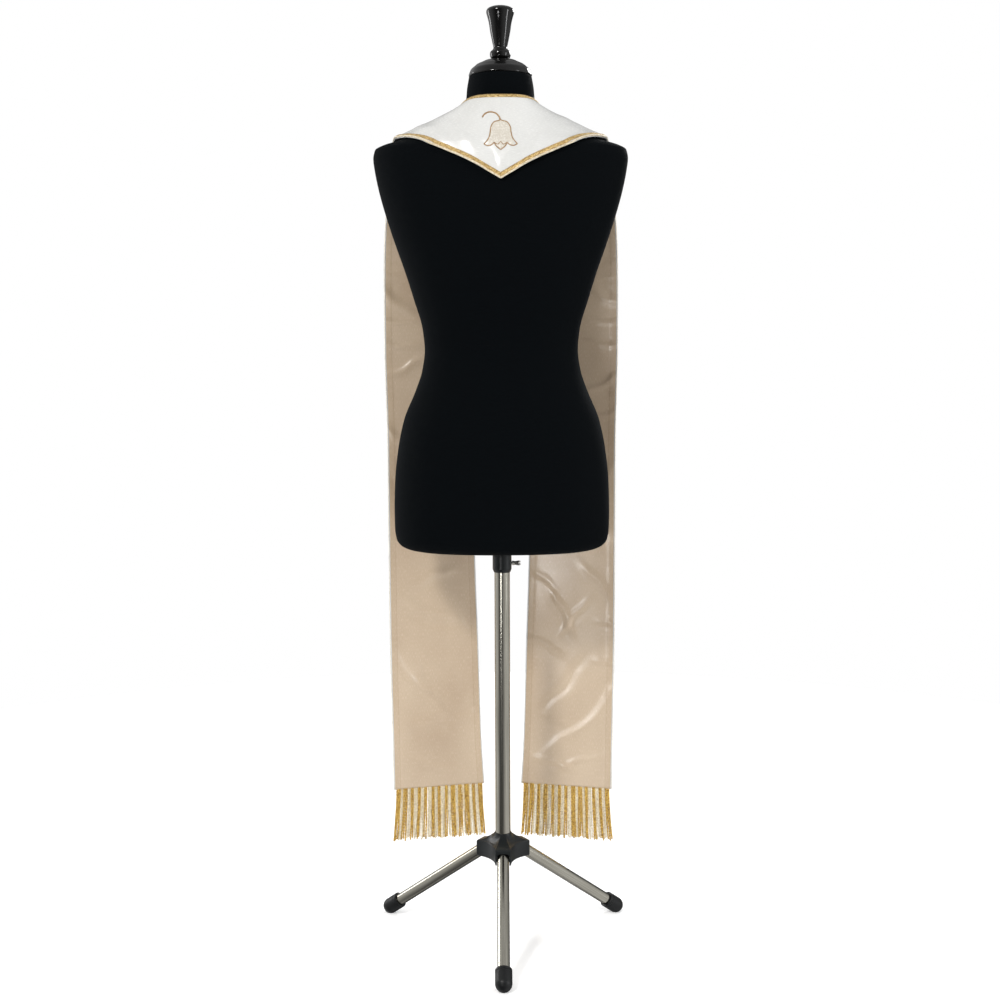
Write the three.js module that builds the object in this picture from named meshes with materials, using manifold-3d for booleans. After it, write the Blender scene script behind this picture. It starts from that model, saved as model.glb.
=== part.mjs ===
// A clerical stole on a limbless dress form with a tripod stand.
// Millimetres, +Z up. The wearer's back faces +Y, the two front panels hang at -Y.
// x = 0 is the plane of symmetry, and the stand's tube stands on x = y = 0 until the last line
// but one, which moves the whole group so that its box is centred over the origin.
import * as THREE from 'three';
import { mergeVertices } from 'three/addons/utils/BufferGeometryUtils.js';
import Module from 'manifold-3d';

const wasm = await Module();
wasm.setup();

// ---------------------------------------------------------------- driving dimensions
const GAP = 0.3; // between pieces that touch

const form = { sides: 40, baseZ: 646, neckTopZ: 1398, boreTopZ: 1002 };
const innerTube = { r: 10.5, wall: 1.4, bottomZ: 280, topZ: 998 };
const pole = { r: 12.5, wall: 1.6, bottomZ: 136.3, topZ: 637.5 };
const collar = { r: 15.4, tipR: 13.2, tipZ: 609.8, shoulderZ: 614.7, topZ: 645.7 };
const screw = { z: 624.5, shaftR: 2.3, tipX: 10.9, neckX: 16.2, endX: 30, bossR: 3.1 };
const wing = { thick: 2.2, reach: 6.4, tilt: 0.35 };
const hub = { bottomZ: 134, plateZ: 160, topZ: 177, lobeR: 44, lobeHalf: 13, bossR: 16 };
const slot = { half: 10.3, inR: 25.5, lipR: 42.3, roofZ: 155.7, lipZ: 153.2 };
const leg = { r: 9.75, pivotR: 36, pivotZ: 145.3, pinR: 2.5, pinHoleR: 2.8 };
const foot = { r: 13.3, ballR: 224.4, ballZ: 11.9, sleeve: 24, grip: 18 };
const legAngles = [90, 210, 330]; // degrees from +X, the first one points backwards

// The cloth, from the form outwards: lining, panel, braid or cord.
const FORM_CLEARANCE = 2.65;
const layer = {
  yoke: { low: 0, high: 2.9 },
  lining: { low: 0.05, high: 0.9 },
  panel: { low: 1.9, high: 3 },
  braid: { low: 3.7, high: 4.7 },
  cord: { low: 3.7, high: 5.6 },
  fringe: { low: -1.2, high: 3.6 },
};
const BRAID_WIDTH = 6;
const NECK_BRAID_WIDTH = 5;
const CORD_WIDTH = 3;
const LINING_INSET = 2.2; // the satin is turned over the lining along its long edges
const FRINGE_LENGTH = 92;
const EDGE = 0.4; // from the cloth's edge to the band along it
const SEAM_TRIM = 0.012; // of a station's length, off each side of the shoulder seam

// Sections of the form: half width across, depth to the back, depth to the front, and the
// power of the section's rounded outline (2 is an ellipse, more is squarer).
const FORM_SECTIONS = [
  { z: 646, half: 122, back: 72, front: 66, power: 2.3 },
  { z: 647.4, half: 140, back: 82, front: 75, power: 2.3 },
  { z: 650.6, half: 154, back: 90, front: 83, power: 2.3 },
  { z: 656, half: 164, back: 96, front: 88, power: 2.3 },
  { z: 665, half: 170.3, back: 99.5, front: 91.5, power: 2.3 },
  { z: 682, half: 172.9, back: 102, front: 94, power: 2.3 },
  { z: 710, half: 173.4, back: 105, front: 98, power: 2.3 },
  { z: 760, half: 172, back: 108, front: 104, power: 2.3 },
  { z: 808, half: 167, back: 106, front: 107, power: 2.3 },
  { z: 857, half: 157, back: 96, front: 105, power: 2.25 },
  { z: 905, half: 137.5, back: 82, front: 96, power: 2.2 },
  { z: 937, half: 126.9, back: 75, front: 90, power: 2.2 },
  { z: 969, half: 122.7, back: 72, front: 87, power: 2.2 },
  { z: 1001, half: 125.7, back: 75, front: 91, power: 2.2 },
  { z: 1048, half: 139, back: 84, front: 110, power: 2.25 },
  { z: 1096, half: 154, back: 93, front: 130, power: 2.3 },
  { z: 1143, half: 170.5, back: 99, front: 133, power: 2.3 },
  { z: 1190, half: 185.3, back: 101, front: 122, power: 2.25 },
  { z: 1222, half: 193.8, back: 99.5, front: 112, power: 2.2 },
  { z: 1253, half: 199.9, back: 95, front: 99, power: 2.1 },
  { z: 1270, half: 201.9, back: 91.5, front: 91, power: 2.05 },
  { z: 1284, half: 199, back: 87.5, front: 84, power: 2 },
  { z: 1290, half: 188.5, back: 84.5, front: 80, power: 2 },
  { z: 1296.5, half: 167, back: 81, front: 76, power: 2 },
  { z: 1306.5, half: 141, back: 76, front: 71, power: 2 },
  { z: 1317.5, half: 115, back: 71.5, front: 66, power: 2 },
  { z: 1328.5, half: 91, back: 67, front: 61, power: 2 },
  { z: 1338, half: 72, back: 63, front: 57, power: 2 },
  { z: 1347.5, half: 59, back: 59.5, front: 54, power: 2 },
  { z: 1362, half: 54.2, back: 56.5, front: 52, power: 2 },
  { z: 1378, half: 52.8, back: 54, front: 51.5, power: 2 },
  { z: 1398, half: 49.4, back: 50, front: 49.4, power: 2 },
];

// Half of the stole, from the centre of the back over the shoulder to the hem: the inner and the
// outer edge of the cloth at each station. The back and shoulder rows are laid onto the form.
const STOLE_STATIONS = [
  { name: 'centre back', inX: 0, inY: 61, inZ: 1360, outX: 0, outY: 101, outZ: 1228 },
  { name: 'back blade', inX: 19, inY: 58, inZ: 1359.7, outX: 47, outY: 97, outZ: 1255 },
  { name: 'back yoke', inX: 34, inY: 51, inZ: 1359, outX: 84, outY: 85, outZ: 1272.5 },
  { name: 'back corner', inX: 47, inY: 37, inZ: 1356.5, outX: 118, outY: 66, outZ: 1286 },
  { name: 'behind the ridge', inX: 54.5, inY: 19, inZ: 1353, outX: 146, outY: 41, outZ: 1295 },
  { name: 'ridge', inX: 57.5, inY: 1, inZ: 1350, outX: 166, outY: 9, outZ: 1300.5 },
  { name: 'shoulder seam', inX: 57.5, inY: -14, inZ: 1346.5, outX: 170.5, outY: -14, outZ: 1297 },
  { name: 'collar bone', inX: 57, inY: -36, inZ: 1336, outX: 174, outY: -33, outZ: 1288 },
  { name: 'upper chest', inX: 56, inY: -62, inZ: 1317, outX: 178, outY: -54, outZ: 1262 },
  { name: 'chest', inX: 54, inY: -92, inZ: 1270, outX: 184, outY: -80, outZ: 1222 },
  { name: 'over the bust', inX: 52, inY: -120, inZ: 1208, outX: 191, outY: -103, outZ: 1174 },
  { name: 'bust', inX: 50.5, inY: -136, inZ: 1140, outX: 194.5, outY: -117, outZ: 1122 },
  { name: 'under the bust', inX: 49.5, inY: -141, inZ: 1060, outX: 196, outY: -124, outZ: 1052 },
  { name: 'waist', inX: 49.5, inY: -142, inZ: 970, outX: 196, outY: -126, outZ: 968 },
  { name: 'hip', inX: 49, inY: -141, inZ: 800, outX: 192.6, outY: -126, outZ: 799 },
  { name: 'below the form', inX: 46, inY: -140, inZ: 620, outX: 192.5, outY: -125, outZ: 617 },
  { name: 'low', inX: 40.5, inY: -139, inZ: 446, outX: 191.5, outY: -124, outZ: 441 },
  { name: 'lower', inX: 36, inY: -138, inZ: 300, outX: 189, outY: -123, outZ: 294 },
  { name: 'hem', inX: 31.5, inY: -138, inZ: 220.5, outX: 188, outY: -122, outZ: 213.5 },
];
const SEAM = STOLE_STATIONS.findIndex((row) => row.name === 'shoulder seam');
const UNDER_BUST = STOLE_STATIONS.findIndex((row) => row.name === 'under the bust');
const HEM = STOLE_STATIONS.length - 1;
const CENTRE_BACK = 0;

// ---------------------------------------------------------------- colours
const paint = (color, roughness, metalness = 0) =>
  new THREE.MeshStandardMaterial({ color, roughness, metalness });
const looks = {
  jersey: () => paint(0x080b0d, 0.9),
  lacquer: () => paint(0x0b0b0c, 0.15),
  plastic: () => paint(0x1b1d1e, 0.45),
  steel: () => paint(0xa5a39a, 0.3, 1),
  rubber: () => paint(0x101112, 0.8),
  satin: () => paint(0xf2f1ee, 0.4),
  champagne: () => paint(0xccb79e, 0.35),
  gold: () => paint(0xbea469, 0.45, 0.4),
  cream: () => paint(0xebd9b3, 0.6),
};

// ---------------------------------------------------------------- smooth tables
// A curve through a table's rows that never overshoots them (monotone cubic).
function curve(rows, at, value) {
  const x = rows.map(at);
  const y = rows.map(value);
  const n = x.length;
  const step = x.slice(1).map((v, i) => (y[i + 1] - y[i]) / (v - x[i]));
  const slope = y.map((_, i) => {
    if (i === 0) return step[0];
    if (i === n - 1) return step[n - 2];
    if (step[i - 1] * step[i] <= 0) return 0;
    return (2 * step[i - 1] * step[i]) / (step[i - 1] + step[i]);
  });
  return (t) => {
    let i = 0;
    while (i < n - 2 && t > x[i + 1]) i += 1;
    const h = x[i + 1] - x[i];
    const s = THREE.MathUtils.clamp((t - x[i]) / h, 0, 1);
    const rise = y[i] * (1 + 2 * s) * (1 - s) ** 2 + y[i + 1] * s * s * (3 - 2 * s);
    return rise + h * (slope[i] * s * (1 - s) ** 2 + slope[i + 1] * s * s * (s - 1));
  };
}

// ---------------------------------------------------------------- the form's surface
const half = curve(FORM_SECTIONS, (row) => row.z, (row) => row.half);
const back = curve(FORM_SECTIONS, (row) => row.z, (row) => row.back);
const front = curve(FORM_SECTIONS, (row) => row.z, (row) => row.front);
const power = curve(FORM_SECTIONS, (row) => row.z, (row) => row.power);

// 1 on the form's surface, less inside and more outside.
function formLevel(p) {
  const n = power(p.z);
  const depth = p.y > 0 ? back(p.z) : front(p.z);
  return (Math.abs(p.x / half(p.z)) ** n + Math.abs(p.y / depth) ** n) ** (1 / n);
}

function formSlope(p) {
  const h = 0.5;
  const axes = ['x', 'y', 'z'];
  const slope = axes.map((axis) => {
    const ahead = p.clone();
    const behind = p.clone();
    ahead[axis] += h;
    behind[axis] -= h;
    return (formLevel(ahead) - formLevel(behind)) / (2 * h);
  });
  return new THREE.Vector3(...slope);
}

// Moves a point out of the form until it is at least `room` from it.
function clearOfForm(point, room) {
  const p = point.clone();
  for (let i = 0; i < 6; i += 1) {
    const slope = formSlope(p);
    const distance = (formLevel(p) - 1) / slope.length();
    if (distance < room) p.addScaledVector(slope.normalize(), room - distance);
  }
  return p;
}

// ---------------------------------------------------------------- the stole's surface
const station = (key) => curve(STOLE_STATIONS, (row) => STOLE_STATIONS.indexOf(row), (row) => row[key]);
const inner = ['inX', 'inY', 'inZ'].map(station);
const outer = ['outX', 'outY', 'outZ'].map(station);

// across: 0 at the inner edge, 1 at the outer edge. along: a station's number, or between two.
function stoleBase(across, along) {
  const a = new THREE.Vector3(...inner.map((f) => f(along)));
  const b = new THREE.Vector3(...outer.map((f) => f(along)));
  return clearOfForm(a.lerp(b, across), FORM_CLEARANCE);
}

function stoleWidth(along) {
  return stoleBase(0, along).distanceTo(stoleBase(1, along));
}

// The base surface moved out by `lift`, which is how every layer of cloth is placed.
function stolePoint(across, along, lift) {
  const da = 0.02;
  const [a0, a1] = [Math.max(0, across - da), Math.min(1, across + da)];
  const [s0, s1] = [Math.max(CENTRE_BACK, along - da), Math.min(HEM, along + da)];
  const over = stoleBase(a1, along).sub(stoleBase(a0, along));
  const down = stoleBase(across, s1).sub(stoleBase(across, s0));
  const normal = over.cross(down).normalize().negate();
  if (along < da) normal.setX(0).normalize();
  return stoleBase(across, along).addScaledVector(normal, lift);
}

// ---------------------------------------------------------------- meshes
function solidOf(points, faces) {
  const geometry = new THREE.BufferGeometry();
  const flat = points.flatMap((p) => [p.x, p.y, p.z]);
  geometry.setAttribute('position', new THREE.Float32BufferAttribute(flat, 3));
  geometry.setIndex(faces.flat());
  return geometry;
}

// A closed wall of cloth: a grid of low points and one of high points, sewn up at the edges.
function wall(columns, rows, point) {
  const at = (side, i, j) => side * (columns + 1) * (rows + 1) + i * (rows + 1) + j;
  const points = [];
  for (const side of [0, 1]) {
    for (let i = 0; i <= columns; i += 1) {
      for (let j = 0; j <= rows; j += 1) points.push(point(i, j, side));
    }
  }
  const faces = [];
  const quad = (a, b, c, d) => faces.push([a, b, c], [a, c, d]);
  for (let i = 0; i < columns; i += 1) {
    for (let j = 0; j < rows; j += 1) {
      quad(at(1, i, j), at(1, i, j + 1), at(1, i + 1, j + 1), at(1, i + 1, j));
      quad(at(0, i, j), at(0, i + 1, j), at(0, i + 1, j + 1), at(0, i, j + 1));
    }
  }
  for (let i = 0; i < columns; i += 1) {
    quad(at(0, i, 0), at(1, i, 0), at(1, i + 1, 0), at(0, i + 1, 0));
    quad(at(0, i, rows), at(0, i + 1, rows), at(1, i + 1, rows), at(1, i, rows));
  }
  for (let j = 0; j < rows; j += 1) {
    quad(at(0, 0, j), at(0, 0, j + 1), at(1, 0, j + 1), at(1, 0, j));
    quad(at(0, columns, j), at(1, columns, j), at(1, columns, j + 1), at(0, columns, j + 1));
  }
  return solidOf(points, faces);
}

// The other half's copy of a piece: x changes sign and so does each face's turn.
function mirrored(geometry) {
  const copy = geometry.clone().scale(-1, 1, 1);
  const index = copy.getIndex();
  for (let i = 0; i < index.count; i += 3) {
    const swap = index.getX(i + 1);
    index.setX(i + 1, index.getX(i + 2));
    index.setX(i + 2, swap);
  }
  return copy;
}

// Stations between which a piece runs, with more rows where the cloth bends.
function stops(from, to) {
  const list = [];
  for (let s = from; s < to; s += 1) {
    const share = s < UNDER_BUST ? 3 : 1;
    for (let k = 0; k < share; k += 1) list.push(s + k / share);
  }
  return [...list, to];
}

// A piece of one half of the stole, from the shoulder seam to the hem. `across` lists the
// distances of its columns from the inner edge, for the stole's width at a row.
function panelPiece(across, lifts) {
  const alongs = stops(SEAM, HEM);
  alongs[0] += SEAM_TRIM;
  return wall(across(100).length - 1, alongs.length - 1, (i, j, side) => {
    const width = stoleWidth(alongs[j]);
    return stolePoint(across(width)[i] / width, alongs[j], side ? lifts.high : lifts.low);
  });
}

// A piece of the yoke, from one shoulder seam round the back of the neck to the other.
function yokePiece(across, lifts) {
  const oneSide = stops(CENTRE_BACK, SEAM);
  oneSide[oneSide.length - 1] -= SEAM_TRIM;
  const alongs = [...oneSide.slice(1).reverse().map((s) => -s), ...oneSide];
  return wall(across(100).length - 1, alongs.length - 1, (i, j, side) => {
    const along = Math.abs(alongs[j]);
    const width = stoleWidth(along);
    const p = stolePoint(across(width)[i] / width, along, side ? lifts.high : lifts.low);
    if (alongs[j] < 0) p.x = -p.x;
    return p;
  });
}

// Cloth has a column along each edge of the bands that lie on it, and even ones between.
function clothColumns(inset) {
  return (width) => {
    const [a, b] = [EDGE + NECK_BRAID_WIDTH, width - EDGE - CORD_WIDTH - GAP - BRAID_WIDTH];
    const between = [1, 2, 3, 4, 5].map((k) => a + ((b - a) * k) / 6);
    return [inset, a, ...between, b, width - inset];
  };
}
const innerBand = (size) => () => [EDGE, EDGE + size];
const outerBand = (start, size) => (width) => [width - start - size, width - start];

// ---------------------------------------------------------------- turned and cut pieces
const turned = (profile, sides) =>
  new THREE.LatheGeometry(profile.map(([r, y]) => new THREE.Vector2(r, y)), sides);

// Turned about the upright axis, with heights in z.
const turnedUpright = (profile, sides) => turned(profile, sides).rotateX(Math.PI / 2);

function toManifold(geometry) {
  const bare = geometry.clone();
  bare.deleteAttribute('normal');
  bare.deleteAttribute('uv');
  const merged = mergeVertices(bare, 1e-3);
  return new wasm.Manifold(new wasm.Mesh({
    numProp: 3,
    vertProperties: new Float32Array(merged.attributes.position.array),
    triVerts: new Uint32Array(merged.index.array),
  }));
}

function toGeometry(manifold) {
  const mesh = manifold.getMesh();
  const geometry = new THREE.BufferGeometry();
  geometry.setAttribute('position', new THREE.BufferAttribute(mesh.vertProperties, 3));
  geometry.setIndex(new THREE.BufferAttribute(mesh.triVerts, 1));
  return geometry;
}

const cut = (body, ...tools) =>
  toGeometry(tools.reduce((left, tool) => left.subtract(toManifold(tool)), toManifold(body)));

const upright = (r, lowZ, highZ, sides) =>
  new THREE.CylinderGeometry(r, r, highZ - lowZ, sides).rotateX(Math.PI / 2)
    .translate(0, 0, (lowZ + highZ) / 2);

const block = (x0, x1, y0, y1, z0, z1) =>
  new THREE.BoxGeometry(x1 - x0, y1 - y0, z1 - z0).translate((x0 + x1) / 2, (y0 + y1) / 2, (z0 + z1) / 2);

// ---------------------------------------------------------------- the form
function torsoGeometry() {
  const levels = [];
  for (let i = 0; i < FORM_SECTIONS.length; i += 1) levels.push(FORM_SECTIONS[i].z);
  const points = [];
  for (const z of levels) {
    for (let k = 0; k < form.sides; k += 1) {
      const turn = (k / form.sides) * 2 * Math.PI;
      const [c, s] = [Math.cos(turn), Math.sin(turn)];
      const n = power(z);
      const depth = s > 0 ? back(z) : front(z);
      const round = (v) => Math.sign(v) * Math.abs(v) ** (2 / n);
      points.push(new THREE.Vector3(half(z) * round(c), depth * round(s), z));
    }
  }
  const faces = [];
  const ring = (i, k) => i * form.sides + (k % form.sides);
  for (let i = 0; i < levels.length - 1; i += 1) {
    for (let k = 0; k < form.sides; k += 1) {
      faces.push([ring(i, k), ring(i, k + 1), ring(i + 1, k + 1)]);
      faces.push([ring(i, k), ring(i + 1, k + 1), ring(i + 1, k)]);
    }
  }
  const top = levels.length - 1;
  for (let k = 1; k < form.sides - 1; k += 1) {
    faces.push([ring(0, 0), ring(0, k + 1), ring(0, k)]);
    faces.push([ring(top, 0), ring(top, k), ring(top, k + 1)]);
  }
  const bore = upright(innerTube.r + 0.4, form.baseZ - 10, form.boreTopZ, 24);
  return cut(solidOf(points, faces), bore);
}

function neckCapGeometry() {
  const seat = form.neckTopZ + GAP;
  return turnedUpright([
    [0, seat], [49.4, seat], [49.9, 1399.5], [48.6, 1403.5], [46.4, 1408.5], [41.4, 1412.8],
    [37.4, 1416.4], [30, 1419.5], [23.4, 1422.6], [13, 1424.2], [0, 1424.2],
  ], 32);
}

function finialGeometry() {
  const seat = 1424.2 + GAP;
  return turnedUpright([
    [0, seat], [12.4, seat], [15.4, 1428.4], [16.4, 1432.4], [15.6, 1436.6], [12.6, 1439.4],
    [10.9, 1442], [12, 1448.6], [13.5, 1455.5], [15.9, 1467.8], [18, 1481.6], [20.4, 1491],
    [21.9, 1497], [21.3, 1500.6], [18.9, 1503.2], [13, 1505.6], [6.5, 1506.7], [0, 1507],
  ], 32);
}

// ---------------------------------------------------------------- the stand
function poleGeometry() {
  const bore = pole.r - pole.wall;
  const tube = turnedUpright([
    [bore, pole.bottomZ], [pole.r, pole.bottomZ], [pole.r, pole.topZ], [bore, pole.topZ],
    [bore, pole.bottomZ],
  ], 28);
  return cut(tube, screwHole());
}

function innerTubeGeometry() {
  const { r, wall: thick, bottomZ, topZ } = innerTube;
  return turnedUpright([
    [r - thick, bottomZ], [r, bottomZ], [r, topZ], [r - thick, topZ], [r - thick, bottomZ],
  ], 24);
}

const screwHole = () =>
  new THREE.CylinderGeometry(screw.shaftR + GAP, screw.shaftR + GAP, 24, 16).rotateZ(Math.PI / 2)
    .translate(-22, 0, screw.z);

function collarGeometry() {
  const ring = turnedUpright([
    [pole.r + GAP, collar.tipZ], [collar.tipR, collar.tipZ], [collar.r, collar.shoulderZ],
    [collar.r - 0.6, collar.topZ], [innerTube.r + 0.5, collar.topZ],
    [innerTube.r + 0.5, pole.topZ + GAP], [pole.r + GAP, pole.topZ + GAP],
    [pole.r + GAP, collar.tipZ],
  ], 28);
  return cut(ring, screwHole());
}

// The screw lies along -X: a shaft that ends just off the inner tube, a boss and two wings.
function screwGeometry() {
  const shaft = turned([
    [0, screw.tipX], [screw.shaftR, screw.tipX], [screw.shaftR, screw.neckX],
    [screw.bossR + 0.8, screw.neckX], [screw.bossR, 21], [screw.bossR, 26], [2.4, 27.4], [0, 27.6],
  ], 16);
  const outline = new THREE.Shape();
  outline.moveTo(0, 18.5);
  outline.quadraticCurveTo(wing.reach * 0.6, 20, wing.reach - 1, 23.5);
  outline.quadraticCurveTo(wing.reach, 25.5, wing.reach, 27.5);
  outline.quadraticCurveTo(wing.reach - 0.4, screw.endX, wing.reach - 2.4, screw.endX);
  outline.quadraticCurveTo(3, 26.5, 0, 26);
  outline.closePath();
  const options = { depth: wing.thick, bevelEnabled: false, curveSegments: 5 };
  const flat = new THREE.ExtrudeGeometry(outline, options).translate(0, 0, -wing.thick / 2);
  const other = flat.clone().rotateY(Math.PI);
  const joined = toManifold(shaft).add(toManifold(flat)).add(toManifold(other));
  return toGeometry(joined).rotateY(wing.tilt).rotateZ(Math.PI / 2);
}

function hubGeometry() {
  const outline = new THREE.Shape();
  const corner = (angle, side) => {
    const along = new THREE.Vector2(Math.cos(angle), Math.sin(angle));
    const across = new THREE.Vector2(-along.y, along.x);
    return along.multiplyScalar(hub.lobeR - 1.5).addScaledVector(across, side * (hub.lobeHalf - 1.5));
  };
  const waist = 15.5;
  legAngles.forEach((degrees, i) => {
    const angle = THREE.MathUtils.degToRad(degrees);
    const right = corner(angle, -1);
    const left = corner(angle, 1);
    if (i === 0) outline.moveTo(right.x, right.y);
    outline.lineTo(left.x, left.y);
    const between = angle + Math.PI / 3;
    const next = corner(angle + (2 * Math.PI) / 3, -1);
    outline.quadraticCurveTo(waist * Math.cos(between), waist * Math.sin(between), next.x, next.y);
  });
  const bevel = 1.5;
  const depth = hub.plateZ - hub.bottomZ - 2 * bevel;
  const plate = new THREE.ExtrudeGeometry(outline, {
    depth, bevelThickness: bevel, bevelSize: bevel, bevelSegments: 1, curveSegments: 6,
  }).translate(0, 0, hub.bottomZ + bevel);
  const boss = turnedUpright([
    [0, hub.plateZ - 4], [hub.bossR + 3, hub.plateZ - 4], [hub.bossR + 1, hub.plateZ + 2],
    [hub.bossR - 0.6, hub.topZ - 2], [hub.bossR - 1.6, hub.topZ], [0, hub.topZ],
  ], 24);
  let solid = toManifold(plate).add(toManifold(boss));
  solid = solid.subtract(toManifold(upright(pole.r + GAP, hub.bottomZ + 2, hub.topZ + 5, 24)));
  for (const degrees of legAngles) {
    const turn = THREE.MathUtils.degToRad(degrees - 90);
    const room = block(-slot.half, slot.half, slot.inR, slot.lipR, hub.bottomZ - 5, slot.roofZ);
    const mouth = block(-slot.half, slot.half, slot.inR, 60, hub.bottomZ - 5, slot.lipZ);
    const pinHole = new THREE.CylinderGeometry(leg.pinHoleR, leg.pinHoleR, 60, 16)
      .rotateZ(Math.PI / 2).translate(0, leg.pivotR, leg.pivotZ);
    for (const tool of [room, mouth, pinHole]) {
      solid = solid.subtract(toManifold(tool.rotateZ(turn)));
    }
  }
  return toGeometry(solid);
}

// Along its own +Z from the pivot: a round end, then the tube.
const reach = foot.ballR - leg.pivotR;
const drop = leg.pivotZ - foot.ballZ;
const legLength = Math.hypot(reach, drop);
const legTilt = Math.PI / 2 + Math.atan2(drop, reach);

function legGeometry() {
  const profile = [];
  for (let i = 0; i <= 5; i += 1) {
    const turn = (i / 5) * (Math.PI / 2);
    profile.push([leg.r * Math.sin(turn), -leg.r * Math.cos(turn)]);
  }
  const end = legLength - foot.sleeve + foot.grip;
  profile.push([leg.r, end], [0, end]);
  const hole = new THREE.CylinderGeometry(leg.pinHoleR, leg.pinHoleR, 40, 16).rotateZ(Math.PI / 2);
  return cut(turnedUpright(profile, 20), hole);
}

function pinGeometry() {
  const pin = new THREE.CylinderGeometry(leg.pinR, leg.pinR, 2 * hub.lobeHalf - 1, 16);
  return pin.rotateZ(Math.PI / 2).translate(0, leg.pivotR, leg.pivotZ);
}

// A rubber cap with a round end and a flat worn on it where it meets the floor.
function footGeometry() {
  const bore = leg.r + GAP;
  const start = legLength - foot.sleeve;
  const profile = [
    [0, start + foot.grip + GAP], [bore, start + foot.grip + GAP], [bore, start],
    [foot.r - 1.2, start], [foot.r, start + 1.6],
  ];
  for (let i = 0; i <= 6; i += 1) {
    const turn = (i / 6) * (Math.PI / 2);
    profile.push([foot.r * Math.cos(turn), legLength + foot.r * Math.sin(turn)]);
  }
  const cap = turnedUpright(profile, 18).rotateX(-legTilt).translate(0, leg.pivotR, leg.pivotZ);
  return cut(cap, block(-60, 60, 0, 400, -60, 0));
}

// ---------------------------------------------------------------- assembly
const part = new THREE.Group();

function add(parent, name, geometry, look) {
  const mesh = new THREE.Mesh(geometry, looks[look]());
  mesh.name = name;
  parent.add(mesh);
  return mesh;
}

const dressForm = new THREE.Group();
add(dressForm, 'torso', torsoGeometry(), 'jersey');
add(dressForm, 'neck_cap', neckCapGeometry(), 'lacquer');
add(dressForm, 'finial', finialGeometry(), 'lacquer');

const stand = new THREE.Group();
add(stand, 'inner_tube', innerTubeGeometry(), 'steel');
add(stand, 'pole', poleGeometry(), 'steel');
add(stand, 'collar', collarGeometry(), 'plastic');
add(stand, 'thumb_screw', screwGeometry(), 'plastic').position.z = screw.z;
add(stand, 'hub', hubGeometry(), 'plastic');
legAngles.forEach((degrees, i) => {
  const spoke = new THREE.Group();
  spoke.rotation.z = THREE.MathUtils.degToRad(degrees - 90);
  const tube = add(spoke, `leg_${i + 1}`, legGeometry(), 'steel');
  tube.rotation.x = -legTilt;
  tube.position.set(0, leg.pivotR, leg.pivotZ);
  add(spoke, `pivot_pin_${i + 1}`, pinGeometry(), 'steel');
  add(spoke, `foot_${i + 1}`, footGeometry(), 'rubber');
  stand.add(spoke);
});

const stole = new THREE.Group();
const innerBraid = innerBand(NECK_BRAID_WIDTH);
const outerBraid = outerBand(EDGE + CORD_WIDTH + GAP, BRAID_WIDTH);
const edgeCord = outerBand(EDGE, CORD_WIDTH);
add(stole, 'back_yoke', yokePiece(clothColumns(0), layer.yoke), 'satin');
add(stole, 'neckline_braid', yokePiece(innerBraid, layer.braid), 'gold');
add(stole, 'yoke_outer_braid', yokePiece(outerBraid, layer.braid), 'gold');
add(stole, 'yoke_edge_cord', yokePiece(edgeCord, layer.cord), 'cream');

const halfPieces = [
  ['front_panel', clothColumns(0), layer.panel, 'satin'],
  ['lining', clothColumns(LINING_INSET), layer.lining, 'champagne'],
  ['inner_braid', innerBraid, layer.braid, 'gold'],
  ['outer_braid', outerBraid, layer.braid, 'gold'],
  ['edge_cord', edgeCord, layer.cord, 'cream'],
];
for (const [name, across, lifts, look] of halfPieces) {
  const geometry = panelPiece(across, lifts);
  add(stole, `${name}_left`, geometry, look);
  add(stole, `${name}_right`, mirrored(geometry), look);
}

// The fringe's reach: the hem's line carried straight down, spreading a little at both sides.
function fringeGeometry() {
  const spread = 6.5;
  const [columns, rows] = [8, 3];
  return wall(columns, rows, (i, j, side) => {
    const [u, v] = [i / columns, j / rows];
    const top = stolePoint(u, HEM, side ? layer.fringe.high : layer.fringe.low);
    top.z -= GAP + v * FRINGE_LENGTH;
    top.x += spread * v * (2 * u - 1);
    return top;
  });
}
add(stole, 'fringe_left', fringeGeometry(), 'gold');
add(stole, 'fringe_right', mirrored(fringeGeometry()), 'gold');

part.add(dressForm, stand, stole);
const box = new THREE.Box3().setFromObject(part, true);
part.position.y = -(box.min.y + box.max.y) / 2;

export default part;
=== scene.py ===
import math
import random
import bmesh
import bpy
import numpy as np
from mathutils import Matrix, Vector
from mathutils.bvhtree import BVHTree


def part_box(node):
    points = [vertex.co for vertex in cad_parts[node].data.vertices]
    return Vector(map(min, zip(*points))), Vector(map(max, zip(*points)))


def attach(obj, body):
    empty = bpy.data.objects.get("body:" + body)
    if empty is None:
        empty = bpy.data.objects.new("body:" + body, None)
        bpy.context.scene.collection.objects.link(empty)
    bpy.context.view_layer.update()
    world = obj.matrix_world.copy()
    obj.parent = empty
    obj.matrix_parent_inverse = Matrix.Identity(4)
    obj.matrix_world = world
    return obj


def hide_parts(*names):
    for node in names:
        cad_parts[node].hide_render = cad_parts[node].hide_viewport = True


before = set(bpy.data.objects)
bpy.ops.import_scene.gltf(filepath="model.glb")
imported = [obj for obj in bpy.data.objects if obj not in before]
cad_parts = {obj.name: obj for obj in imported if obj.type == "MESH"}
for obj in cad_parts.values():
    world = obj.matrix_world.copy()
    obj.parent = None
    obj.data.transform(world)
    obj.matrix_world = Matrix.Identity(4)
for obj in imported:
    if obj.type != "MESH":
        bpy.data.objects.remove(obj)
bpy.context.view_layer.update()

MM = 0.001
TUBE_LOW, TUBE_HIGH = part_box("pole")
TUBE_Y = (TUBE_LOW[1] + TUBE_HIGH[1]) / 2


def place(points):
    """Model millimetres to frame metres."""
    moved = np.asarray(points, float) * MM
    moved[..., 1] += TUBE_Y
    return moved


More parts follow.
